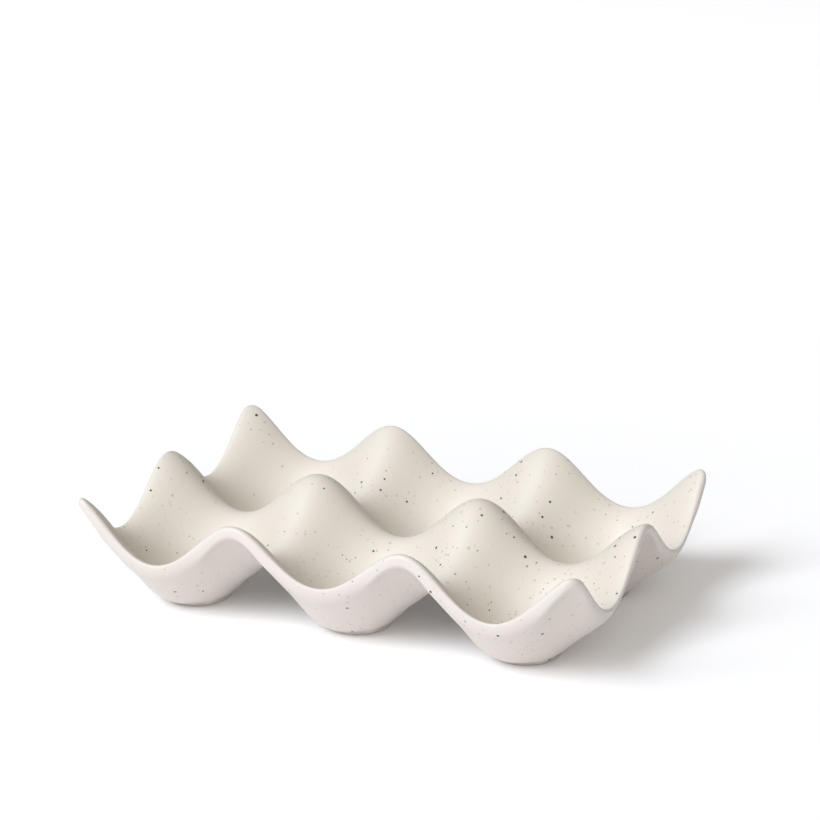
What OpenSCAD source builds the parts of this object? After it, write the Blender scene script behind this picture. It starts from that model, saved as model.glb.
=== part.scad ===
// Egg tray in glazed stoneware: one wavy sheet that forms two rows of three cups,
// standing on a low round foot under each cup.
// Sizes are in millimetres. +X runs along a row of cups, -Y is the front, and the feet stand on z = 0.

/* [Cups] */
// Distance between the centres of neighbouring cups
cup_pitch = 70; // [62:1:80]
// Height of the cup floors, on the upper face
floor_h = 6; // [5:0.1:9]
// Height of the saddles between two cups, on the upper face
saddle_h = 23.2; // [19:0.1:29]
// Height of the peaks between four cups, on the upper face
peak_h = 44.1; // [38:0.1:52]
// Height to which the wave would fall in the cups without their floors
trough_h = -2.8; // [-5:0.1:3]
// Softness of the turn from a cup's side into its floor
floor_blend = 3; // [1:0.5:6]
// Share of the second wave, which makes the peaks slimmer and the cups wider
peak_slimness = 0.056; // [0:0.001:0.12]

/* [Sheet] */
// Thickness of the sheet
wall = 4.3; // [4:0.1:6]
// Thickness of the sheet at the rims of the long sides, where it swells on the underside
side_wall = 5.5; // [4:0.1:7]

/* [Rim] */
// Extra height of the saddles at the ends
end_saddle_lift = 0.7; // [0:0.1:4]
// Extra height of the saddles along the long sides
side_saddle_lift = 1.4; // [0:0.1:4]
// Extra height of the peaks at the ends
end_peak_lift = 0.5; // [0:0.1:3]
// Extra height of the peaks along the long sides
side_peak_lift = 1.3; // [0:0.1:3]
// Height of the four corner peaks above what both lifts give them
corner_lift = 1.6; // [0:0.1:4]
// How much longer the last half wave towards the long sides is, so that the sheet still rises at its rim
side_run_out = 2.5; // [0:0.1:5]
// How far inside the last half pitch the upper face stops at the end saddles
end_trim = 1.2; // [0:0.1:5]
// How far inside the last half pitch the upper face stops at the side saddles
side_trim = 0; // [0:0.1:5]
// How much further in the upper face stops at the peaks than at the saddles
peak_draw = 1.2; // [0:0.1:3]
// Radius of the corners of the upper face, in plan
corner_r = 4.5; // [2:0.5:10]
// Radius of the rim's upper edge
upper_edge_r = 1.6; // [0.8:0.1:2]
// Radius of the rim's lower edge, no more than that of the upper edge
lower_edge_r = 0.8; // [0.4:0.1:1.6]

/* [Feet] */
// Diameter of a foot
foot_d = 27.2; // [20:0.2:32]
// Height of a foot
foot_h = 1.6; // [0.8:0.1:3]
// Radius of a foot's lower edge, no more than its height
foot_round = 1.5; // [0.2:0.1:3]
// Flat land left round a foot on the underside of its cup
land_margin = 0.2; // [0.1:0.1:1.5]

/* [Hidden] */
COLUMNS = ["left", "middle", "right"];
ROWS = ["front", "back"];
function foot_name(row, column) = str("foot_", ROWS[row], "_", COLUMNS[column]);

// Colours of the glaze and of the bare clay
glaze_colour = [0.88, 0.86, 0.82];
clay_colour = [0.80, 0.76, 0.70];

// Steps of the surface across one cup, round each edge of the rim, and from a land's centre to its edge
cup_steps = 18;
edge_steps = 3;
land_steps = 2;
rim_steps = 2 * edge_steps + 2;
half_steps = cup_steps / 2;
// Facets round a foot, and in a full turn of its rounded edge
foot_facets = 96;
edge_facets = 32;
// How strongly the steps crowd at the peaks, saddles and floors
crowding = 0.4;
// Power of the swell towards the rims of the long sides: a high one keeps it near the rim
swell_power = 4;
// Distance over which the slope of the sheet is measured
slope_step = 0.01;

grid_x = cup_steps * len(COLUMNS);
grid_y = cup_steps * len(ROWS);
grid_points = (grid_x + 1) * (grid_y + 1);

// Borders of the outer cups' cells, and reach of the upper face at the corners, from the tray's middle
half_pitch = cup_pitch / 2;
border_x = half_pitch * len(COLUMNS);
border_y = half_pitch * len(ROWS);
reach_x = border_x - end_trim - peak_draw;
reach_y = border_y - side_trim - peak_draw;
land_r = foot_d / 2 + land_margin;
foot_edge_r = min(foot_round, foot_h);
under_edge_r = min(lower_edge_r, upper_edge_r);

function unit(v) = v / norm(v);
function smooth(s) = s * s * (3 - 2 * s);
function soft_max(a, b, blend) = (a + b + sqrt(pow(a - b, 2) + pow(blend, 2))) / 2;

// Share of the peak line at a distance from it: 1 on the line, 0 midway to the next one
function crest_share(distance) =
    let (turn = 360 * distance / cup_pitch)
    (1 + cos(turn) + peak_slimness * (cos(2 * turn) - 1)) / 2;

// 0 up to the middle of an outer cup, 1 at the border of its cell
function rim_share(x, border) = min(max((abs(x) - border) / half_pitch + 1, 0), 1);
function at_rim(x, border) = rim_share(x, border) > 0 ? 1 : 0;

// Place along a wave whose last half wave is longer by the run-out
function wave_place(x, border, run_out) =
    let (over = abs(x) - border + half_pitch)
    over <= 0 ? x : sign(x) * (border - half_pitch + over * half_pitch / (half_pitch + run_out));

// Height of the wave: troughs, and saddles between peaks
function wave_h(x, y) =
    let (
        a = crest_share(x + border_x),
        b = crest_share(wave_place(y, border_y, side_run_out) + border_y),
        at_end = at_rim(x, border_x),
        at_side = at_rim(y, border_y),
        end_saddle = saddle_h + end_saddle_lift * at_end,
        side_saddle = saddle_h + side_saddle_lift * at_side,
        peak = peak_h + end_peak_lift * at_end + side_peak_lift * at_side + corner_lift * at_end * at_side
    )
    trough_h * (1 - a) * (1 - b) + end_saddle * a * (1 - b) + side_saddle * b * (1 - a) + peak * a * b;

// The upper face is the wave over the cups' floors
floor_level = floor_h - pow(floor_blend / 2, 2) / (floor_h - trough_h);
function upper_h(p) = soft_max(wave_h(p.x, p.y), floor_level, floor_blend);
// Length of the sheet over a level unit: where it is steep, an even sheet is taller, measured upright
function steepness(p) =
    let (
        rise_x = upper_h(p + [slope_step, 0]) - upper_h(p - [slope_step, 0]),
        rise_y = upper_h(p + [0, slope_step]) - upper_h(p - [0, slope_step])
    )
    norm([rise_x, rise_y, 2 * slope_step]) / (2 * slope_step);
// The lower face lies one thickness below, and no lower than the tops of the feet
function wall_at(p) =
    let (
        near_side = pow(rim_share(p.y, border_y), swell_power),
        near_end = pow(rim_share(p.x, border_x), swell_power)
    )
    wall + (side_wall - wall) * near_side * (1 - near_end);
function lower_h(p) = max(upper_h(p) - wall_at(p) * steepness(p), foot_h);

// Steps from 0 to 1, or -1 to 1, that crowd at the whole numbers
function crowd(s) = s - crowding * sin(360 * s) / (2 * PI);
// Steps from 0 to 1 that crowd at 1
function crowd_end(s) = s + crowding * sin(180 * s) / PI;

// Point of a cell's ring of radius r: round where square_share is 0, square where it is 1
function ring_point(u, v, r, square_share) =
    let (
        along_x = abs(u) >= abs(v),
        m = max(abs(u), abs(v)),
        w = m == 0 ? 0 : (along_x ? v : u) / m,
        side = sign(along_x ? u : v),
        p = r * ((1 - square_share) * [cos(45 * w), sin(45 * w)] + square_share * [1, crowd(w)])
    )
    along_x ? [side * p.x, p.y] : [p.y, side * p.x];

// Place of grid point i along one axis: the centre of its cell, and the step from that centre
function cell_of(i, count) = min(floor(i / cup_steps), count - 1);
function cell_step(i, count) = (i - cell_of(i, count) * cup_steps) / half_steps - 1;
function cell_centre(i, count) = (cell_of(i, count) + 0.5 - count / 2) * cup_pitch;

// Draws the outer half of the outer cells in to the trimmed rim
function drawn_in(x, border, trim) = x - sign(x) * trim * pow(rim_share(x, border), 2);

// Turns the square of each corner into a quarter of a disc
function round_corner(p) =
    let (
        u = (abs(p.x) - reach_x + corner_r) / corner_r,
        v = (abs(p.y) - reach_y + corner_r) / corner_r
    )
    u <= 0 || v <= 0 ? p : [
        sign(p.x) * (reach_x + corner_r * (u * sqrt(1 - v * v / 2) - 1)),
        sign(p.y) * (reach_y + corner_r * (v * sqrt(1 - u * u / 2) - 1))
    ];

function cell_place(i, j, p) =
    let (
        x = cell_centre(i, len(COLUMNS)) + p.x,
        y = cell_centre(j, len(ROWS)) + p.y
    )
    round_corner([
        drawn_in(x, border_x, end_trim + peak_draw * crest_share(y + border_y)),
        drawn_in(y, border_y, side_trim + peak_draw * crest_share(x + border_x))
    ]);

function upper_plan(i, j) =
    let (
        u = cell_step(i, len(COLUMNS)),
        v = cell_step(j, len(ROWS)),
        m = max(abs(u), abs(v))
    )
    cell_place(i, j, ring_point(u, v, half_pitch * crowd(m), smooth(m)));

function upper_point(i, j) =
    let (p = upper_plan(i, j))
    [p.x, p.y, upper_h(p)];

// The underside follows the sheet down to the flat land that a foot sits on
function lower_point(i, j) =
    let (
        u = cell_step(i, len(COLUMNS)),
        v = cell_step(j, len(ROWS)),
        ring = round(max(abs(u), abs(v)) * half_steps),
        s = max((ring - land_steps - 0.5) / (half_steps - land_steps - 0.5), 0),
        r = land_r + (half_pitch - land_r) * crowd_end(s),
        p = cell_place(i, j, ring_point(u, v, r, smooth(s))),
        land = cell_place(i, j, ring_point(u, v, land_r * ring / land_steps, 0))
    )
    ring <= land_steps ? [land.x, land.y, foot_h] : [p.x, p.y, lower_h(p)];

// The rim's grid points, once round the tray, and the way out of the sheet at each
rim_loop = [
    for (i = [0 : grid_x - 1]) [i, 0],
    for (j = [0 : grid_y - 1]) [grid_x, j],
    for (i = [grid_x : -1 : 1]) [i, grid_y],
    for (j = [grid_y : -1 : 1]) [0, j]
];
rim_count = len(rim_loop);
function way_out(place, p) =
    let (
        u = (abs(p.x) - reach_x) / corner_r + 1,
        v = (abs(p.y) - reach_y) / corner_r + 1,
        at_end = place.x == 0 || place.x == grid_x
    )
    u > 0 && v > 0 ? unit([sign(p.x) * u, sign(p.y) * v]) : at_end ? [sign(p.x), 0] : [0, sign(p.y)];
// The rim's profile is a soft upper edge, an upright band and a crisper lower edge
function rim_point(place, step) =
    let (
        border = upper_plan(place.x, place.y),
        upper = step <= edge_steps,
        edge_r = upper ? upper_edge_r : under_edge_r,
        angle = 90 * (upper ? edge_steps - step : step - edge_steps - 1) / edge_steps,
        p = border + way_out(place, border) * (upper_edge_r - edge_r * (1 - cos(angle))),
        cut_back = edge_r * (1 - sin(angle)) * steepness(p)
    )
    [p.x, p.y, upper ? upper_h(p) - cut_back : lower_h(p) + cut_back];

function upper_index(i, j) = i * (grid_y + 1) + j;
function lower_index(i, j) = grid_points + upper_index(i, j);
// Index of a rim point: the first and last steps are the borders of the two faces of the sheet
function rim_index(k, step) =
    let (place = rim_loop[k % rim_count])
    step == 0 ? upper_index(place.x, place.y)
        : step == rim_steps ? lower_index(place.x, place.y)
        : 2 * grid_points + (step - 1) * rim_count + k % rim_count;

// The two triangles of a four-sided patch, split along the line from its first corner or its second
function patch(a, b, c, d, first) = first ? [[a, b, c], [a, c, d]] : [[b, c, d], [b, d, a]];
// Patches are split along the lines that run out from the cups' centres
function outward_split(i, j) =
    cell_step(i + 0.5, len(COLUMNS)) * cell_step(j + 0.5, len(ROWS)) > 0;

module tray_body() {
    points = [
        for (i = [0 : grid_x], j = [0 : grid_y]) upper_point(i, j),
        for (i = [0 : grid_x], j = [0 : grid_y]) lower_point(i, j),
        for (step = [1 : rim_steps - 1], place = rim_loop) rim_point(place, step)
    ];
    faces = [
        for (i = [0 : grid_x - 1], j = [0 : grid_y - 1])
            each patch(
                upper_index(i, j), upper_index(i, j + 1), upper_index(i + 1, j + 1), upper_index(i + 1, j),
                outward_split(i, j)
            ),
        for (i = [0 : grid_x - 1], j = [0 : grid_y - 1])
            each patch(
                lower_index(i, j), lower_index(i + 1, j), lower_index(i + 1, j + 1), lower_index(i, j + 1),
                outward_split(i, j)
            ),
        for (k = [0 : rim_count - 1], step = [0 : rim_steps - 1])
            each patch(
                rim_index(k, step), rim_index(k + 1, step),
                rim_index(k + 1, step + 1), rim_index(k, step + 1),
                true
            )
    ];
    color(glaze_colour) polyhedron(points, faces, convexity = 10);
}

// A low turned pad with a rounded lower edge, flat where it stands and where it meets the cup
module foot(row, column) {
    color(clay_colour)
        translate([(column + 0.5) * cup_pitch - border_x, (row + 0.5) * cup_pitch - border_y, 0])
            rotate_extrude($fn = foot_facets)
                difference() {
                    square([foot_d / 2, foot_h]);
                    translate([foot_d / 2 - foot_edge_r, 0])
                        difference() {
                            square(foot_edge_r);
                            translate([0, foot_edge_r]) circle(foot_edge_r, $fn = edge_facets);
                        }
                }
}

tray_body();
for (row = [0 : len(ROWS) - 1], column = [0 : len(COLUMNS) - 1])
    foot(row, column);
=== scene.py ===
# %% [markdown]
# # An egg tray in speckled stoneware
# The real tray is one sheet of clay, pressed into a wave that makes two rows of three cups, dipped in a
# satin off-white glaze and fired. Its solids come packed as a frame of named nodes, in metres. This
# lesson dresses that frame: a finely curved sheet, a speckled glaze, a little bare clay under the feet,
# studio light and a camera.

# %% Load the frame
import math

import bpy
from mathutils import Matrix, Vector


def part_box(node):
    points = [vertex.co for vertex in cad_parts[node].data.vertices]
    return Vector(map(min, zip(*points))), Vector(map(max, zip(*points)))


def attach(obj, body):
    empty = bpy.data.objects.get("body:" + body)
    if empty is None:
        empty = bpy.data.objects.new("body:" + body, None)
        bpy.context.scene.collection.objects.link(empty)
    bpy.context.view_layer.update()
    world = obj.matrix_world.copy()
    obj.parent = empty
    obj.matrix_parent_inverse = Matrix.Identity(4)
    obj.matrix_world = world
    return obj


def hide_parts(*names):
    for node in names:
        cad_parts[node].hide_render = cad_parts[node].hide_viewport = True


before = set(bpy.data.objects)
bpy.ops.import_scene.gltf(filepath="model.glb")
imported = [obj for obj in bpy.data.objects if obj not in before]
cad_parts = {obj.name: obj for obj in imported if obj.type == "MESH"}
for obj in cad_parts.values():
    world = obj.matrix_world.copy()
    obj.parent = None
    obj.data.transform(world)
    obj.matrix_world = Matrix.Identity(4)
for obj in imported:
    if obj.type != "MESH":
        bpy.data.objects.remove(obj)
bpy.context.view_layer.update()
# One millimetre, in the frame's metres
MM = 0.001


print("nodes:", sorted(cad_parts))

# %% [markdown]
# ## Measure before modelling
# What the frame can tell isn't typed in again. The feet stand under the middles of the cups, so the
# distance between two feet is the pitch of the cups, and one foot gives the height and width of them all.
# The heights of the wave can't be read from a box, so they are named further down as driving sizes.

# %% Read the cups from the feet
COLUMNS = 3
ROWS = 2


def middle(node):
    low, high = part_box(node)
    return (low + high) / 2


foot_low, foot_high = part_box("foot_front_middle")
cup_pitch = middle("foot_front_right").x - middle("foot_front_middle").x
foot_height = foot_high.z - foot_low.z
foot_radius = (foot_high.x - foot_low.x) / 2
print(f"pitch {cup_pitch / MM:.1f} mm, feet {2 * foot_radius / MM:.1f} by {foot_height / MM:.1f} mm")

# %% [markdown]
# ## Node maths in plain Python
# A shape or a finish made of nodes is a formula, and a formula reads best as an expression. This small
# class wraps one socket. Adding or multiplying two of them adds a Math node, with the numbers on either
# side, and `make` adds any other node: settings first, then the values or links of its sockets. The same
# class serves shapes and finishes.

# %% The socket class
class Value:
    """One socket of a node tree. Arithmetic on it adds Math nodes, and make adds any other node."""

    def __init__(self, tree, socket=None):
        self.tree = tree
        self.socket = socket

    def make(self, kind, settings=None, sockets=None, output=0):
        node = self.tree.nodes.new(kind)
        for name, setting in (settings or {}).items():
            setattr(node, name, setting)
        for name, value in (sockets or {}).items():
            if isinstance(value, Value):
                self.tree.links.new(value.socket, node.inputs[name])
            else:
                node.inputs[name].default_value = value
        return Value(self.tree, node.outputs[output] if node.outputs else None)

    def other(self, name):
        """Another output of the node that this socket belongs to."""
        return Value(self.tree, self.socket.node.outputs[name])

    def math(self, operation, first, second=0.0):
        return self.make("ShaderNodeMath", {"operation": operation}, {0: first, 1: second})

    def __add__(self, number):
        return self.math("ADD", self, number)

    def __radd__(self, number):
        return self.math("ADD", number, self)

    def __sub__(self, number):
        return self.math("SUBTRACT", self, number)

    def __rsub__(self, number):
        return self.math("SUBTRACT", number, self)

    def __mul__(self, number):
        return self.math("MULTIPLY", self, number)

    def __rmul__(self, number):
        return self.math("MULTIPLY", number, self)

    def __truediv__(self, number):
        return self.math("DIVIDE", self, number)

    def __rtruediv__(self, number):
        return self.math("DIVIDE", number, self)

    def __neg__(self):
        return self.math("MULTIPLY", self, -1.0)

    def __abs__(self):
        return self.math("ABSOLUTE", self)

    def __lt__(self, number):
        return self.math("LESS_THAN", self, number)

    def __gt__(self, number):
        return self.math("GREATER_THAN", self, number)


# %% [markdown]
# A few nodes come up again and again. Each gets a short function with a plain name, so that a formula
# further down reads like a sentence. They could be written out as nodes every time, which would hide the
# formula.

# %% Short names for common nodes
def largest(first, second):
    return first.math("MAXIMUM", first, second)


def smallest(first, second):
    return first.math("MINIMUM", first, second)


def root(value):
    return value.math("SQRT", value)


def sine(value):
    return value.math("SINE", value)


def cosine(value):
    return value.math("COSINE", value)


def sign(value):
    return value.math("SIGN", value)


def between(first, second, share):
    """Goes from first to second as share goes from 0 to 1."""
    return first + (second - first) * share


def clamped(value):
    return smallest(largest(value, 0.0), 1.0)


def eased(share):
    """Starts and ends softly."""
    return share * share * (3 - 2 * share)


def late(share):
    """Stays near 0 for long and rises late."""
    return share * share * share * share


def parts(vector):
    x = vector.make("ShaderNodeSeparateXYZ", sockets={0: vector})
    return x, x.other("Y"), x.other("Z")


def vector_of(x, y, z):
    return x.make("ShaderNodeCombineXYZ", sockets={0: x, 1: y, 2: z})


def noise(place, size, detail=2.0, seed=0.0):
    """A cloudy pattern from 0 to 1, with clouds of about the given size."""
    return place.make("ShaderNodeTexNoise", {"noise_dimensions": "4D"}, {
        "Vector": place,
        "W": seed,
        "Scale": 1 / size,
        "Detail": detail,
    })


# %% [markdown]
# ## The wavy sheet
# Seen from above, the tray is a chequer of cups. The height of its upper face follows one rule: a cosine
# along each row times a cosine across the rows gives troughs, saddles and peaks, and a second, faster
# cosine slims the peaks. It could be sculpted, or pulled from a grid by hand, but a rule is exact and
# keeps all six cups alike, so Geometry Nodes evaluate it: a finely divided block is bent until its top
# and bottom follow the wave and its four sides become the trimmed rim.

# %% Sizes of the wave
SHEET_SIZES = {
    "Cup pitch": cup_pitch,
    # The plain wave would sink to the trough, and a level floor, softly blended in, fills each cup above it
    "Trough height": -2.8 * MM,
    "Floor height": 6 * MM,
    "Floor blend": 3 * MM,
    # Saddles lie between two cups and peaks between four, and both are higher at the rim
    "Saddle height": 23.2 * MM,
    "End saddle lift": 0.7 * MM,
    "Side saddle lift": 1.4 * MM,
    "Middle dip lift": 2 * MM,
    "Peak height": 44.1 * MM,
    "End peak lift": 0.5 * MM,
    "Side peak lift": 1.3 * MM,
    "Corner lift": 1.6 * MM,
    "Front corner lift": 0.5 * MM,
    "Peak slimness": 0.056,
    "Side run-out": 2.5 * MM,
    # The sheet's thickness, how far its border is trimmed back, and the rounding of the rim
    "Wall": 4.3 * MM,
    "Side wall": 5.5 * MM,
    "End trim": 1.8 * MM,
    "Side trim": 0.6 * MM,
    "Peak draw": 1.2 * MM,
    "Corner radius": 4.5 * MM,
    "Upper edge": 2.2 * MM,
    "Lower edge": 1.5 * MM,
    "Dip edge": 0.8 * MM,
    # The wall is fuller under the dips of the rim and slimmer beside the feet
    "Dip slant": 1.5 * MM,
    "Dip fill": 1.873 * MM,
    "Waist depth": 2.6 * MM,
    "Waist radius": 20 * MM,
    "Waist width": 9 * MM,
    "Foot height": foot_height,
    # A soft unevenness, as on any sheet that is finished by hand
    "Undulation": 0.25 * MM,
    "Undulation size": 28 * MM,
    "Seed": 4.0,
}
# Steps of the mesh across one cup, and round the rim from one face to the other
CUP_STEPS = 72
RIM_STEPS = 12
# The land that a foot sits on ends on the ring of the mesh that is nearest to the foot's edge
land_share = round(foot_radius / cup_pitch * CUP_STEPS) / (CUP_STEPS / 2)
print(f"the flat land under a cup is {land_share * cup_pitch / MM:.1f} mm wide")


# %% [markdown]
# The block is first drawn into rings round each cup, because a cup is round and its foot sits on a round
# land. Rings near a cup's middle are circles, and they turn into the square of the cup's cell further
# out. The outer cells are then drawn in a little, so that the sheet ends just inside the outermost peaks,
# and its corners are rounded.

# %% Plan of the sheet
# Keeps a division by zero away from the very middle of a cup
TINY = 1e-6


def cell_of(place, cells):
    """Middle of the cell that a place lies in, in cells, and the step from there, from -1 to 1."""
    cell = smallest(largest(place.math("FLOOR", place + cells / 2), 0.0), cells - 1.0)
    centre = cell + (0.5 - cells / 2)
    return centre, (place - centre) * 2


def ring_point(u, v, pitch):
    """Point of a cell's ring, from its middle, and how far out the ring is, from 0 to 1."""
    ring = largest(abs(u), abs(v))
    turn = smallest(abs(u), abs(v)) / largest(ring, TINY)
    square_share = eased(ring)
    far = between(cosine(turn * (math.pi / 4)), 1.0, square_share)
    near = between(sine(turn * (math.pi / 4)), turn, square_share)
    wide = abs(u) > abs(v)
    x = sign(u) * between(near, far, wide) * ring * pitch / 2
    y = sign(v) * between(far, near, wide) * ring * pitch / 2
    return x, y, ring


def rim_share(x, border, pitch):
    """0 up to the middle of an end cup, and 1 at the border of its cell."""
    return clamped((abs(x) - border) / (pitch / 2) + 1)


def drawn_in(x, border, trim, pitch):
    """Draws the outer half of the end cells in by the trim."""
    share = rim_share(x, border, pitch)
    return x - sign(x) * trim * share * share


def corner_share(x, reach, radius):
    """0 up to where the rounding of a corner starts, and 1 where the sheet ends."""
    return largest((abs(x) - reach) / radius + 1, 0.0)


def rounded(x, y, size):
    """Turns the square of each corner into a quarter of a disc."""
    radius = size["Corner radius"]
    u = corner_share(x, size["End reach"], radius)
    v = corner_share(y, size["Side reach"], radius)
    return (
        x - sign(x) * radius * u * (1 - root(1 - v * v / 2)),
        y - sign(y) * radius * v * (1 - root(1 - u * u / 2)),
    )


# %% [markdown]
# The height rule is written once, together with its slopes. A slope is the height's derivative, and it
# says how steep the sheet is: a steep sheet of even thickness is taller, measured upright, than a level
# one. Towards the long sides the wave runs out a little longer, so that the sheet still rises where it is
# trimmed. The middle dip and the corners at the front stand a touch higher than the others, because the
# real tray is finished by hand and isn't quite regular.

# %% Height and steepness of the wave
def crest(distance, pitch, slimness):
    """Share of a peak line at a distance from it, and its slope: 1 on the line, 0 midway to the next one."""
    turn = distance * (2 * math.pi) / pitch
    share = (1 + cosine(turn) + slimness * (cosine(turn * 2) - 1)) / 2
    slope = (sine(turn) + slimness * sine(turn * 2) * 2) * (-math.pi) / pitch
    return share, slope


def along_wave(x, border, size, run_out):
    """Share of the peak lines at a place, its slope, and 1 in the outer half of an end cup."""
    pitch = size["Cup pitch"]
    centre = border - pitch / 2
    at_rim = abs(x) > centre
    gain = between(1.0, pitch / (pitch + run_out * 2.0), at_rim)
    place = sign(x) * (centre + (abs(x) - centre) * gain)
    share, slope = crest(place + border, pitch, size["Peak slimness"])
    return share, slope * gain, at_rim


def upper_face(x, y, size):
    """Height of the upper face, and its steepness: the length of the sheet over a level unit."""
    a, slope_a, at_end = along_wave(x, size["End border"], size, 0.0)
    b, slope_b, at_side = along_wave(y, size["Side border"], size, size["Side run-out"])
    at_front = y < 0.0
    in_middle = abs(x) < size["Cup pitch"] / 2
    trough = size["Trough height"]
    end_saddle = size["Saddle height"] + size["End saddle lift"] * at_end
    side_lift = size["Side saddle lift"] + size["Middle dip lift"] * in_middle * at_front
    side_saddle = size["Saddle height"] + side_lift * at_side
    peak_lift = size["End peak lift"] * at_end + size["Side peak lift"] * at_side
    corner_lift = size["Corner lift"] + size["Front corner lift"] * at_front
    peak = size["Peak height"] + peak_lift + corner_lift * at_end * at_side
    low = between(trough, side_saddle, b)
    high = between(end_saddle, peak, b)
    height = between(low, high, a)
    rise_a = high - low
    rise_b = between(side_saddle - trough, peak - end_saddle, a)

    # The cups' floors: a soft maximum of the wave and a level floor
    blend = size["Floor blend"]
    floor_level = size["Floor height"] - blend * blend / 4 / (size["Floor height"] - trough)
    above = height - floor_level
    bend = root(above * above + blend * blend)
    share = (1 + above / bend) / 2
    rise_x = rise_a * slope_a * share
    rise_y = rise_b * slope_b * share
    return (height + floor_level + bend) / 2, root(rise_x * rise_x + rise_y * rise_y + 1)


# %% [markdown]
# Across its thickness, the block's third direction runs from the underside, -1, to the upper face, 1. On
# the four sides it runs round the rim: a soft upper edge, an upright band and a lower edge. On the crests
# that edge is easy to see. In the dips it is wiped away: the band slants in, and the wall below is filled
# out to it. A Bevel modifier would round all edges alike, so the rim has a formula of its own.

# %% Rim profile
# The rim's two edges take this share of its steps, and the flat band between them the rest
EDGE_SHARE = 0.84
FLAT_SHARE = 1 - EDGE_SHARE
# Where the fill under a dip is deepest, on the way from the cup's middle, 0, to the rim, 1
FILL_DEEPEST = 8 / 9


def rim_profile(through, upper_edge, lower_edge):
    """How far a point lies out from the border, how far each face is cut back, and its share between them."""
    upper_turn = clamped((through - FLAT_SHARE) / EDGE_SHARE) * (math.pi / 2)
    lower_turn = clamped((-through - FLAT_SHARE) / EDGE_SHARE) * (math.pi / 2)
    out = upper_edge * cosine(upper_turn) + lower_edge * (cosine(lower_turn) - 1)
    upper_cut = upper_edge * (1 - sine(upper_turn))
    lower_cut = lower_edge * (1 - sine(lower_turn))
    face = clamped(through / (2 * FLAT_SHARE) + 0.5)
    return out, upper_cut, lower_cut, face


def moved_out(x, y, out, slant, dip_x, dip_y, size):
    """Moves a place straight out from the border, and back in by the slant in the dips."""
    corner_x = sign(x) * corner_share(x, size["End reach"], size["Corner radius"])
    corner_y = sign(y) * corner_share(y, size["Side reach"], size["Corner radius"])
    step = out / largest(root(corner_x * corner_x + corner_y * corner_y), 1.0)
    return x + corner_x * (step - slant * dip_y), y + corner_y * (step - slant * dip_x)


def dip_fill(x, outermost, size):
    """How much lower the wall under a dip lies: nothing at the band, most a few millimetres in from it."""
    share = rim_share(x, outermost, size["Cup pitch"])
    deepest = late(FILL_DEEPEST) * math.sqrt(1 - FILL_DEEPEST)
    return size["Dip fill"] * (late(share) * root(1 - share) / deepest)


# %% [markdown]
# Underneath, each cup narrows towards its foot. Seen from the side, the wall rises straight from the foot
# to the arch between two cups, so it is slimmer there than an even sheet would be. It could be carved off
# the mesh by hand, but a smooth bump on the rings beside the foot does it for six cups at once and leaves
# the inside of the cups as it is.

# %% Waist of a cup
def waist(ring_x, ring_y, ring, size):
    """How much higher the underside lies beside a foot, most of all towards the next cup of the row."""
    # The square millimetre keeps a division by zero away from the middle of the cup
    sideways = ring_x * ring_x / largest(ring_x * ring_x + ring_y * ring_y, MM * MM)
    off_waist = abs(ring * size["Cup pitch"] / 2 - size["Waist radius"])
    return size["Waist depth"] * sideways * eased(clamped(1 - off_waist / size["Waist width"]))


# %% [markdown]
# A damp sponge has smoothed the raw clay under the dips. It could be smoothed in Sculpt Mode, but then the
# sheet couldn't follow its sizes any more. Blur Attribute does what a sponge does: each pass moves a point
# towards the middle of its neighbours. A weight stored on the points says how hard it wipes, so that the
# crests and the inside of the tray stay as they are.

# %% Sponge
SPONGE_PASSES = 60
# On the rim the sponge starts this far up, and it wipes harder further down
SPONGED_FROM = 0.85
# It wipes this far out from a cup's middle, 0, to the rim, 1, and this far down from a crest, 0, to a dip, 1
RIM_FROM = 0.55
RIM_FADE = 0.15
DIP_FROM = 0.15


def near_rim(share):
    """1 in the last third of the way from a cup's middle to the rim, fading out inwards."""
    return clamped((share - RIM_FROM) / RIM_FADE)


def deep_in(dip):
    """1 at the bottom of a dip, fading out softly on the way up to its crests."""
    share = clamped((dip - DIP_FROM) / (1 - DIP_FROM))
    return share * share


def sponge_weight(through, end_dip, side_dip):
    """How hard the sponge wipes a point, from how deep it lies in a dip of an end or of a long side."""
    low = clamped((SPONGED_FROM - through) / SPONGED_FROM)
    return low * low * low * clamped(side_dip + end_dip)


def stored(geometry, name, value):
    """Keeps a number on each point of the geometry."""
    return geometry.make("GeometryNodeStoreNamedAttribute", {"data_type": "FLOAT", "domain": "POINT"}, {
        "Geometry": geometry,
        "Name": name,
        "Value": value,
    })


def wiped(geometry):
    """Moves points towards their neighbours, which melts the lower edge of the rim into the wall."""
    weight = geometry.make("GeometryNodeInputNamedAttribute", {"data_type": "FLOAT"}, {"Name": "sponged"})
    place = geometry.make("GeometryNodeBlurAttribute", {"data_type": "FLOAT_VECTOR"}, {
        "Value": geometry.make("GeometryNodeInputPosition"),
        "Iterations": SPONGE_PASSES,
        "Weight": weight,
    })
    return geometry.make("GeometryNodeSetPosition", sockets={"Geometry": geometry, "Position": place})


# %% [markdown]
# The tree has an input for every size, so that someone who opens it can change a size and see the sheet
# follow. A few places are worked out from them at once: where the outer cells end, and where the sheet
# and its rim end.

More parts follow.
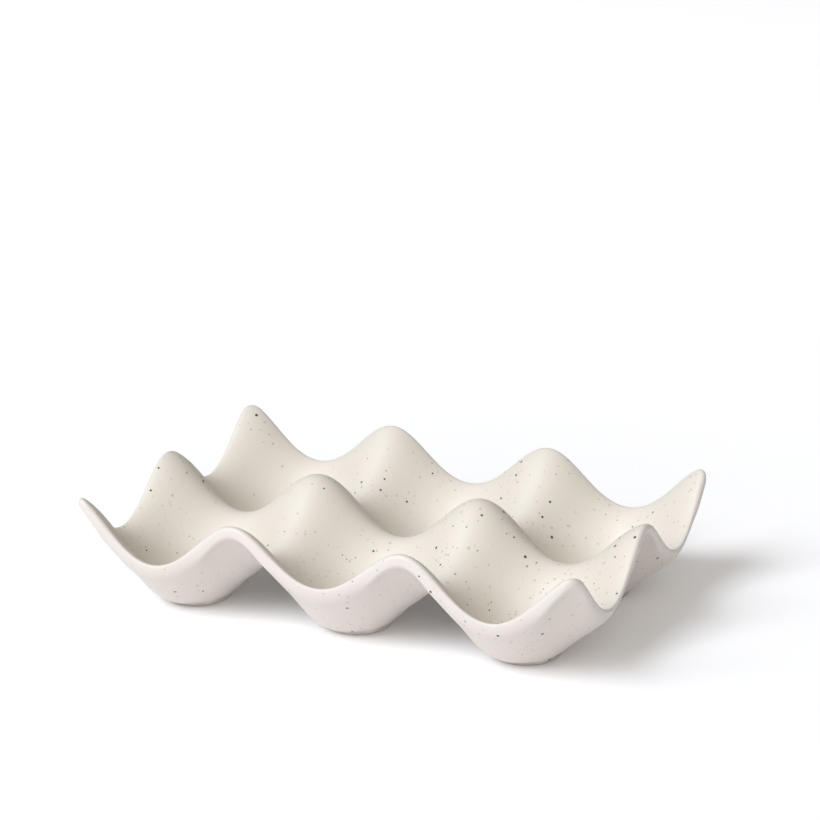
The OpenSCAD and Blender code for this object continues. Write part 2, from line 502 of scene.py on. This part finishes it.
# %% Inputs of the tree
def sheet_inputs(tree):
    """Gives the tree its inputs and its output, and returns the sizes by name and the glaze."""
    for name in SHEET_SIZES:
        tree.interface.new_socket(name, in_out="INPUT", socket_type="NodeSocketFloat")
    tree.interface.new_socket("Glaze", in_out="INPUT", socket_type="NodeSocketMaterial")
    tree.interface.new_socket("Sheet", in_out="OUTPUT", socket_type="NodeSocketGeometry")
    given = Value(tree).make("NodeGroupInput")
    size = {name: given.other(name) for name in SHEET_SIZES}
    for side, cells in (("End", COLUMNS), ("Side", ROWS)):
        border = size["Cup pitch"] * (cells / 2)
        size[f"{side} border"] = border
        size[f"{side} reach"] = border - size[f"{side} trim"] - size["Peak draw"]
        size[f"{side} rim"] = border + size["Upper edge"] - size[f"{side} trim"]
    return size, given.other("Glaze")


# %% [markdown]
# The tree puts all this together. It also stores on each point whether it lies inside, on the upper face.
# The glaze reads this mark later. It paints the upper face lighter and warmer, and the rim and the outer
# walls darker and cooler. This is partly glaze that pools in the cups and thins on the edges, and partly
# painted light, standing in for warm light bounced about in the cups and cool light from the floor below.

# %% Tree of the wavy sheet
# From here up to the upper face, 1, a point of the rim turns from outside to inside
INSIDE_FROM = 0.75
# Points below this belong to the underside, -1
UNDERSIDE = -0.999
# Well under the distance from ring to ring
RING_SLACK = 0.5 / CUP_STEPS


def wavy_sheet_tree():
    tree = bpy.data.node_groups.new("wavy_sheet", "GeometryNodeTree")
    size, glaze_input = sheet_inputs(tree)
    pitch = size["Cup pitch"]
    start = Value(tree)
    block = start.make("GeometryNodeMeshCube", sockets={
        "Size": (COLUMNS, ROWS, 2),
        "Vertices X": COLUMNS * CUP_STEPS + 1,
        "Vertices Y": ROWS * CUP_STEPS + 1,
        "Vertices Z": RIM_STEPS + 1,
    })
    along, across, through = parts(start.make("GeometryNodeInputPosition"))
    centre_x, u = cell_of(along, COLUMNS)
    centre_y, v = cell_of(across, ROWS)
    ring_x, ring_y, ring = ring_point(u, v, pitch)
    x = centre_x * pitch + ring_x
    y = centre_y * pitch + ring_y
    at_peak_x, _ = crest(x + size["End border"], pitch, size["Peak slimness"])
    at_peak_y, _ = crest(y + size["Side border"], pitch, size["Peak slimness"])
    x = drawn_in(x, size["End border"], size["End trim"] + size["Peak draw"] * at_peak_y, pitch)
    y = drawn_in(y, size["Side border"], size["Side trim"] + size["Peak draw"] * at_peak_x, pitch)
    x, y = rounded(x, y, size)

    # The rim's profile goes straight out from the border of the sheet
    dip_x = eased(1 - at_peak_x)
    dip_y = eased(1 - at_peak_y)
    lower_edge = between(size["Lower edge"], size["Dip edge"], clamped(dip_x + dip_y))
    out, upper_cut, lower_cut, face = rim_profile(through, size["Upper edge"], lower_edge)
    x, y = moved_out(x, y, out, (1 - face) * size["Dip slant"], dip_x, dip_y, size)

    # Both faces follow the wave, and a soft unevenness takes a little off each
    upper, steepness = upper_face(x, y, size)
    near_end = rim_share(x, size["End border"], pitch)
    near_side = rim_share(y, size["Side border"], pitch)
    wall = between(size["Wall"], size["Side wall"], late(near_side) * (1 - late(near_end)))
    fill = dip_x * dip_fill(y, size["Side rim"], size) + dip_y * dip_fill(x, size["End rim"], size)
    lower = upper - wall * steepness - fill + waist(ring_x, ring_y, ring, size)
    lower = largest(lower, size["Foot height"])
    dent = size["Undulation"] * noise(vector_of(x, y, upper), size["Undulation size"], seed=size["Seed"])
    height = between(lower + lower_cut * steepness + dent, upper - upper_cut * steepness - dent, face)

    # The underside has a flat round land in the middle of each cup, for the foot
    on_land = (through < UNDERSIDE) * (ring < land_share + RING_SLACK)
    point = vector_of(x, y, between(height, size["Foot height"], on_land))

    marked = stored(block, "inside", clamped((through - INSIDE_FROM) / (1 - INSIDE_FROM)))
    end_dip = deep_in(dip_y) * near_rim(near_end)
    side_dip = deep_in(dip_x) * near_rim(near_side)
    marked = stored(marked, "sponged", sponge_weight(through, end_dip, side_dip))
    bent = start.make("GeometryNodeSetPosition", sockets={"Geometry": marked, "Position": point})
    smooth = start.make("GeometryNodeSetShadeSmooth", sockets={"Geometry": wiped(bent)})
    whole = start.make("GeometryNodeRealizeInstances", sockets={"Geometry": smooth})
    glazed = start.make("GeometryNodeSetMaterial", sockets={"Geometry": whole, "Material": glaze_input})
    start.make("NodeGroupOutput", sockets={"Sheet": glazed})
    return tree


sheet_tree = wavy_sheet_tree()
print("sheet nodes:", len(sheet_tree.nodes))

# %% [markdown]
# A modifier's inputs go by their identifiers, and they are set before the object is first evaluated. The
# evaluated result is then turned into a plain mesh, so that nothing is left to recompute when the piece
# is exported.

# %% From a tree to a plain mesh
def made_by(tree, name, values):
    piece = bpy.data.objects.new(name, bpy.data.meshes.new(name))
    bpy.context.scene.collection.objects.link(piece)
    modifier = piece.modifiers.new("shape", "NODES")
    modifier.node_group = tree
    for item in tree.interface.items_tree:
        if item.in_out == "INPUT":
            modifier[item.identifier] = values[item.name]
    seen = piece.evaluated_get(bpy.context.evaluated_depsgraph_get())
    mesh = bpy.data.meshes.new_from_object(seen)
    piece.modifiers.clear()
    piece.data = mesh
    return piece


# %% [markdown]
# ## The glaze
# The glaze is a satin off-white that lets specks of iron in the clay bleed through: a few near-black dots
# of up to a millimetre and a half, more small ones, and faint tan ones below the surface. A picture could
# be painted on, but a solid pattern has no seams on a shape like this. Cells scattered in space are cut
# by the surface, and each cell that is cut close to its middle shows as a speck, so their sizes vary as
# real ones do.

# %% Speck pattern
# Each pattern is cut from a part of space of its own, this many steps away
PATTERN_SEEDS = {
    "wobble": 1, "big": 3, "small": 4, "faint": 5, "clouds": 6, "ripple": 7, "sheen": 8,
    "wiped line": 9, "grit": 10, "grain": 11, "crowd": 12,
}
PATTERN_STEP = (0.37, 0.53, 0.71)
# The narrowest cells' share of the greatest radius, and how far a speck's edge fades
NARROWEST = 0.55
SPECK_FADE = 0.15 * MM


def vector_sum(first, second):
    return first.make("ShaderNodeVectorMath", {"operation": "ADD"}, {0: first, 1: second})


def stretched(vector, amount):
    return vector.make("ShaderNodeVectorMath", {"operation": "SCALE"}, {0: vector, "Scale": amount})


def shifted(place, pattern):
    seed = PATTERN_SEEDS[pattern]
    return vector_sum(place, tuple(step * seed for step in PATTERN_STEP))


def specks(place, cell, radius, share):
    """Mask of round specks, from 0 to 1, and a number for each one's tone."""
    spot = place.make("ShaderNodeTexVoronoi", sockets={"Vector": place, "Scale": 1 / cell, "Randomness": 1.0})
    chance, width, tone = parts(spot.other("Color"))
    reach = radius * between(NARROWEST, 1.0, width)
    mask = clamped((reach - spot * cell) / SPECK_FADE)
    return mask * (chance < share), tone


# %% [markdown]
# The cream itself is a little warmer in clouds and in a fine grain. Then come the three kinds of specks,
# one over the other, the faint ones first. They crowd in patches, as iron does in clay, more of them
# towards the front right and fewer on the outer walls. A slight wobble keeps the dots from being perfect
# discs.

# %% Glaze colour
WARM_CREAM = (0.66, 0.605, 0.52, 1)
IRON = (0.012, 0.009, 0.007, 1)
TAN = (0.34, 0.26, 0.18, 1)
# A kind's share of cells goes from sparse to crowded patches, and its strength from pale to dark specks
FAINT_SPECKS = dict(cell=2.8 * MM, radius=0.75 * MM, share=(0.25, 1.0), strength=(0.12, 0.42), colour=TAN)
SMALL_SPECKS = dict(cell=3.3 * MM, radius=0.53 * MM, share=(0.0, 0.9), strength=(0.25, 0.75), colour=IRON)
BIG_SPECKS = dict(cell=4.5 * MM, radius=0.76 * MM, share=(0.0, 0.7), strength=(0.85, 1.0), colour=IRON)
WOBBLE = 0.5 * MM
WOBBLE_SIZE = 1.2 * MM
# Crowding: size of the patches, the noise level that they start from and how fast they fill, how much
# each metre to the right adds and each metre to the back takes, and how much of it is left outside
PATCH_SIZE = 34 * MM
PATCH_FROM = 0.36
PATCH_GAIN = 3
MORE_TO_RIGHT = 3
FEWER_TO_BACK = 2
LEFT_OUTSIDE = 0.4
CLOUD_SIZE = 22 * MM
CLOUD_FROM = 0.3
CLOUD_GAIN = 2
CLOUD_SHARE = 0.3
GRAIN_SIZE = 1.3 * MM
GRAIN_SHARE = 0.25


def mixed_colour(share, first, second):
    return share.make("ShaderNodeMix", {"data_type": "RGBA"}, {0: share, 6: first, 7: second}, 2)


def with_specks(body, place, crowd, cell, radius, share, strength, colour):
    """A colour with one kind of specks on it, and their mask."""
    mask, tone = specks(place, cell, radius, between(*share, crowd))
    return mixed_colour(mask * between(*strength, tone), body, colour), mask


def glaze_colour(place, cream, inside):
    """Colour of a cream glaze with its specks, and the mask of the dark ones."""
    along, across, _ = parts(place)
    patches = (noise(shifted(place, "crowd"), PATCH_SIZE, 1.0) - PATCH_FROM) * PATCH_GAIN
    crowd = clamped(patches + along * MORE_TO_RIGHT - across * FEWER_TO_BACK)
    crowd = crowd * between(LEFT_OUTSIDE, 1.0, inside)
    clouds = clamped((noise(shifted(place, "clouds"), CLOUD_SIZE, 3.0) - CLOUD_FROM) * CLOUD_GAIN)
    grain = noise(shifted(place, "grain"), GRAIN_SIZE)
    body = mixed_colour(clouds * CLOUD_SHARE + grain * GRAIN_SHARE, cream, WARM_CREAM)
    wobble = noise(shifted(place, "wobble"), WOBBLE_SIZE) - 0.5
    uneven = vector_sum(place, stretched(vector_of(wobble, -wobble, 0.0), WOBBLE))
    body, _ = with_specks(body, shifted(uneven, "faint"), crowd, **FAINT_SPECKS)
    body, small = with_specks(body, shifted(uneven, "small"), crowd, **SMALL_SPECKS)
    body, big = with_specks(body, shifted(uneven, "big"), crowd, **BIG_SPECKS)
    return body, largest(big, small)


# %% [markdown]
# A satin glaze is neither matt nor glossy, and its sheen varies softly over the tray. Dark specks are a
# little duller. The surface has a ripple far too low to model, so a Bump node tilts the light instead.

# %% Glaze material
# Painted light: the inside cream is lighter and warmer and the outside one darker and cooler, on top of the
# glaze's own pooling, standing in for light bounced in the cups and cool floor light on the walls
COOL_SHADED_OUTSIDE_CREAM = (0.672, 0.618, 0.583, 1)
WARM_LIT_INSIDE_CREAM = (0.716, 0.67, 0.594, 1)
SATIN = 0.40
SHEEN_SIZE = 16 * MM
SHEEN_RANGE = 0.12
SPECK_DULLNESS = 0.1
RIPPLE_SIZE = 7 * MM
RIPPLE_DEPTH = 0.05 * MM
RIPPLE_STRENGTH = 0.5
GLASS_IOR = 1.5


def new_material(name):
    material = bpy.data.materials.new(name)
    material.use_nodes = True
    material.node_tree.nodes.clear()
    return material, Value(material.node_tree)


def speckled_glaze():
    material, start = new_material("speckled_glaze")
    place = start.make("ShaderNodeTexCoord", output="Object")
    inside = start.make("ShaderNodeAttribute", {"attribute_name": "inside"}, output="Fac")
    # Mixing the creams by the inside mark paints the upper face lighter and warmer than the outside
    colour, dark = glaze_colour(place, mixed_colour(inside, COOL_SHADED_OUTSIDE_CREAM, WARM_LIT_INSIDE_CREAM), inside)
    sheen = noise(shifted(place, "sheen"), SHEEN_SIZE)
    normal = start.make("ShaderNodeBump", sockets={
        "Strength": RIPPLE_STRENGTH,
        "Distance": RIPPLE_DEPTH,
        "Height": noise(shifted(place, "ripple"), RIPPLE_SIZE, 1.0),
    })
    shader = start.make("ShaderNodeBsdfPrincipled", sockets={
        "Base Color": colour,
        "Roughness": SATIN + sheen * SHEEN_RANGE + dark * SPECK_DULLNESS,
        "Normal": normal,
        "IOR": GLASS_IOR,
    })
    start.make("ShaderNodeOutputMaterial", sockets={"Surface": shader})
    return material


glaze = speckled_glaze()
print("glaze nodes:", len(glaze.node_tree.nodes))

# %% [markdown]
# Now the tree makes the sheet. It takes the place of the solid of the same piece, which stays in the
# frame for the physics, and it rides on the tray's only body.

# %% Make the tray's sheet
tray = made_by(sheet_tree, "wavy_tray", {**SHEET_SIZES, "Glaze": glaze})
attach(tray, "root")
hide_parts("tray_body")
print("wavy_tray:", len(tray.data.polygons), "faces")

# %% [markdown]
# ## The feet
# The six feet are plain turned discs, and their solids are already right, so they stay and only get their
# finish: glaze on the flank, and dry buff clay where the glaze was wiped off so that the tray wouldn't
# stick in the kiln.

# %% Foot material
CLAY = (0.52, 0.43, 0.33, 1)
CLAY_GRIT = (0.36, 0.28, 0.20, 1)
FLANK_ROUGHNESS = 0.45
CLAY_ROUGHNESS = 0.9
# The glaze ends at this height, on a line that wavers and fades a little
WIPED_HEIGHT = 0.1 * MM
LINE_WAVER = 0.1 * MM
LINE_SIZE = 3 * MM
LINE_FADE = 0.04 * MM
GRIT_SIZE = 0.6 * MM
GRIT_FROM = 0.55
GRIT_GAIN = 6
GRIT_SHARE = 0.6
GRIT_DEPTH = 0.08 * MM
GRIT_STRENGTH = 0.6


def foot_finish():
    material, start = new_material("wiped_foot")
    place = start.make("ShaderNodeTexCoord", output="Object")
    # The flank takes the outside cream, painted darker and cooler like the outer walls
    colour, _ = glaze_colour(place, COOL_SHADED_OUTSIDE_CREAM, 0.0)
    _, _, height = parts(place)
    line = WIPED_HEIGHT + (noise(shifted(place, "wiped line"), LINE_SIZE) - 0.5) * LINE_WAVER
    bare = clamped((line - height) / LINE_FADE + 0.5)
    grit = clamped((noise(shifted(place, "grit"), GRIT_SIZE) - GRIT_FROM) * GRIT_GAIN)
    clay = mixed_colour(grit * GRIT_SHARE, CLAY, CLAY_GRIT)
    normal = start.make("ShaderNodeBump", sockets={
        "Strength": GRIT_STRENGTH,
        "Distance": GRIT_DEPTH,
        "Height": grit * bare,
    })
    shader = start.make("ShaderNodeBsdfPrincipled", sockets={
        "Base Color": mixed_colour(bare, colour, clay),
        "Roughness": between(FLANK_ROUGHNESS, CLAY_ROUGHNESS, bare),
        "Normal": normal,
        "IOR": GLASS_IOR,
    })
    start.make("ShaderNodeOutputMaterial", sockets={"Surface": shader})
    return material


foot_glaze = foot_finish()
feet = [node for name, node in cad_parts.items() if name.startswith("foot_")]
for foot in feet:
    foot.data.materials.clear()
    foot.data.materials.append(foot_glaze)
print("feet dressed:", len(feet))

# %% [markdown]
# ## The floor
# A product photographer's table is a sheet of white opal lit from below. Here one large square of pale
# paper does that work: it glows a little, and more so further from the tray, so that it turns plain white
# in the picture and the tray still throws a soft shadow.

# %% Floor
FLOOR_REACH = 6.0
PAPER = (0.945, 0.945, 0.945, 1)
PALE_PAPER = (0.955, 0.955, 0.955, 1)
PAPER_ROUGHNESS = 0.9
PAPER_CLOUDS = 400 * MM
NEAR_GLOW = (0.3, 0.3, 0.3, 1)
FAR_GLOW = (1, 1, 1, 1)
FLOOR_GLOW = 0.25
GLOW_FROM = 0.15
GLOW_RAMP = 0.5


def floor_paper():
    material, start = new_material("floor_paper")
    place = start.make("ShaderNodeTexCoord", output="Object")
    x, y, _ = parts(place)
    far = clamped((root(x * x + y * y) - GLOW_FROM) / GLOW_RAMP)
    shader = start.make("ShaderNodeBsdfPrincipled", sockets={
        "Base Color": mixed_colour(noise(place, PAPER_CLOUDS), PAPER, PALE_PAPER),
        "Roughness": PAPER_ROUGHNESS,
        "Emission Color": mixed_colour(far, NEAR_GLOW, FAR_GLOW),
        "Emission Strength": FLOOR_GLOW,
    })
    start.make("ShaderNodeOutputMaterial", sockets={"Surface": shader})
    return material


corners = [(x * FLOOR_REACH, y * FLOOR_REACH, 0) for x, y in ((-1, -1), (1, -1), (1, 1), (-1, 1))]
floor_mesh = bpy.data.meshes.new("floor")
floor_mesh.from_pydata(corners, [], [(0, 1, 2, 3)])
floor = bpy.data.objects.new("floor", floor_mesh)
floor.data.materials.append(floor_paper())
bpy.context.scene.collection.objects.link(floor)
print(f"floor: {2 * FLOOR_REACH:.0f} m wide")

# %% [markdown]
# ## The camera
# The camera looks down on the front right of the tray through a long lens, from the place where the
# tray's outline falls as it does in the photo. It could be set by eye in the viewport, but an angle, a
# distance and a focal length say plainly where it stands. It aims above the tray, so that the tray lies
# low in the picture. Depth of field is off.

# %% Camera
VIEW_AZIMUTH = math.radians(25.64)
VIEW_ELEVATION = math.radians(20.2)
VIEW_DISTANCE = 1.087
VIEW_TARGET = Vector((0, 0, 17.5 * MM))
AIM_RIGHT = 5.2 * MM
AIM_UP = 55.5 * MM
# The focal length was measured in pixels of a picture this wide, and the sensor turns it into millimetres
SENSOR = 36.0
IMAGE_WIDTH = 820
FOCAL_PIXELS = 2767

right = Vector((math.cos(VIEW_AZIMUTH), math.sin(VIEW_AZIMUTH), 0))
back = Vector((
    math.sin(VIEW_AZIMUTH) * math.cos(VIEW_ELEVATION),
    -math.cos(VIEW_AZIMUTH) * math.cos(VIEW_ELEVATION),
    math.sin(VIEW_ELEVATION),
))
eye = VIEW_TARGET + back * VIEW_DISTANCE
aim = VIEW_TARGET + right * AIM_RIGHT + back.cross(right) * AIM_UP
camera_data = bpy.data.cameras.new("studio_camera")
camera_data.sensor_width = SENSOR
camera_data.lens = SENSOR * FOCAL_PIXELS / IMAGE_WIDTH
camera = bpy.data.objects.new("studio_camera", camera_data)
camera.location = eye
camera.rotation_euler = (aim - eye).to_track_quat("-Z", "Y").to_euler()
bpy.context.scene.collection.objects.link(camera)
bpy.context.scene.camera = camera
print(f"camera: {camera_data.lens:.0f} mm lens, {VIEW_DISTANCE:.2f} m from the tray")

# %% [markdown]
# ## The light
# A pale glaze shows its curves best in one wide soft light from the upper left. A weak, warmer one beside
# the camera and a pale surround keep the shaded cups open. The surround is dimmer on the right, so that
# the edges there stand out. The softboxes stand far off, so that the light is even all over the tray and
# the floor.

# %% Softboxes
SOFTBOX_DISTANCE = 7.0
SOFTBOX_SIZE = 4.0

toward = Vector((back.x, back.y, 0)).normalized()


def softbox(name, turn, rise, watts, colour):
    """A large square light, turned from the camera's side to the right and raised, both in degrees."""
    turn, rise = math.radians(turn), math.radians(rise)
    level_way = toward * math.cos(turn) + right * math.sin(turn)
    way = level_way * math.cos(rise) + Vector((0, 0, math.sin(rise)))
    data = bpy.data.lights.new(name, "AREA")
    data.shape = "SQUARE"
    data.size = SOFTBOX_SIZE
    data.energy = watts
    data.color = colour
    light = bpy.data.objects.new(name, data)
    light.location = VIEW_TARGET + way * SOFTBOX_DISTANCE
    light.rotation_euler = way.to_track_quat("Z", "Y").to_euler()
    bpy.context.scene.collection.objects.link(light)
    print(f"{name}: {watts} W")


softbox("key_softbox", turn=-54, rise=42, watts=463, colour=(0.88, 0.925, 1.0))
softbox("fill_softbox", turn=12, rise=38, watts=95, colour=(1.0, 0.97, 0.92))

# %% [markdown]
# The surround is what the glaze sees where there is no softbox, as the walls of a studio are. It could be
# one colour, but a pale wall on one side and a dim one on the other give the rims on the right their
# shade. The Standard view transform keeps the whites white.

# %% Surround
SURROUND_COLOUR = (1.0, 0.955, 0.925, 1)
DIM_SIDE_COLOUR = (0.25, 0.24, 0.23, 1)
SURROUND_STRENGTH = 0.43


def dot(first, second):
    return first.make("ShaderNodeVectorMath", {"operation": "DOT_PRODUCT"}, {0: first, 1: second}, "Value")


world = bpy.data.worlds.new("studio")
bpy.context.scene.world = world
world.use_nodes = True
world.node_tree.nodes.clear()
start = Value(world.node_tree)
to_the_right = clamped(dot(start.make("ShaderNodeTexCoord"), right))
surround = start.make("ShaderNodeBackground", sockets={
    "Color": mixed_colour(to_the_right, SURROUND_COLOUR, DIM_SIDE_COLOUR),
    "Strength": SURROUND_STRENGTH,
})
start.make("ShaderNodeOutputWorld", sockets={"Surface": surround})
bpy.context.scene.view_settings.view_transform = "Standard"
print("surround nodes:", len(world.node_tree.nodes))
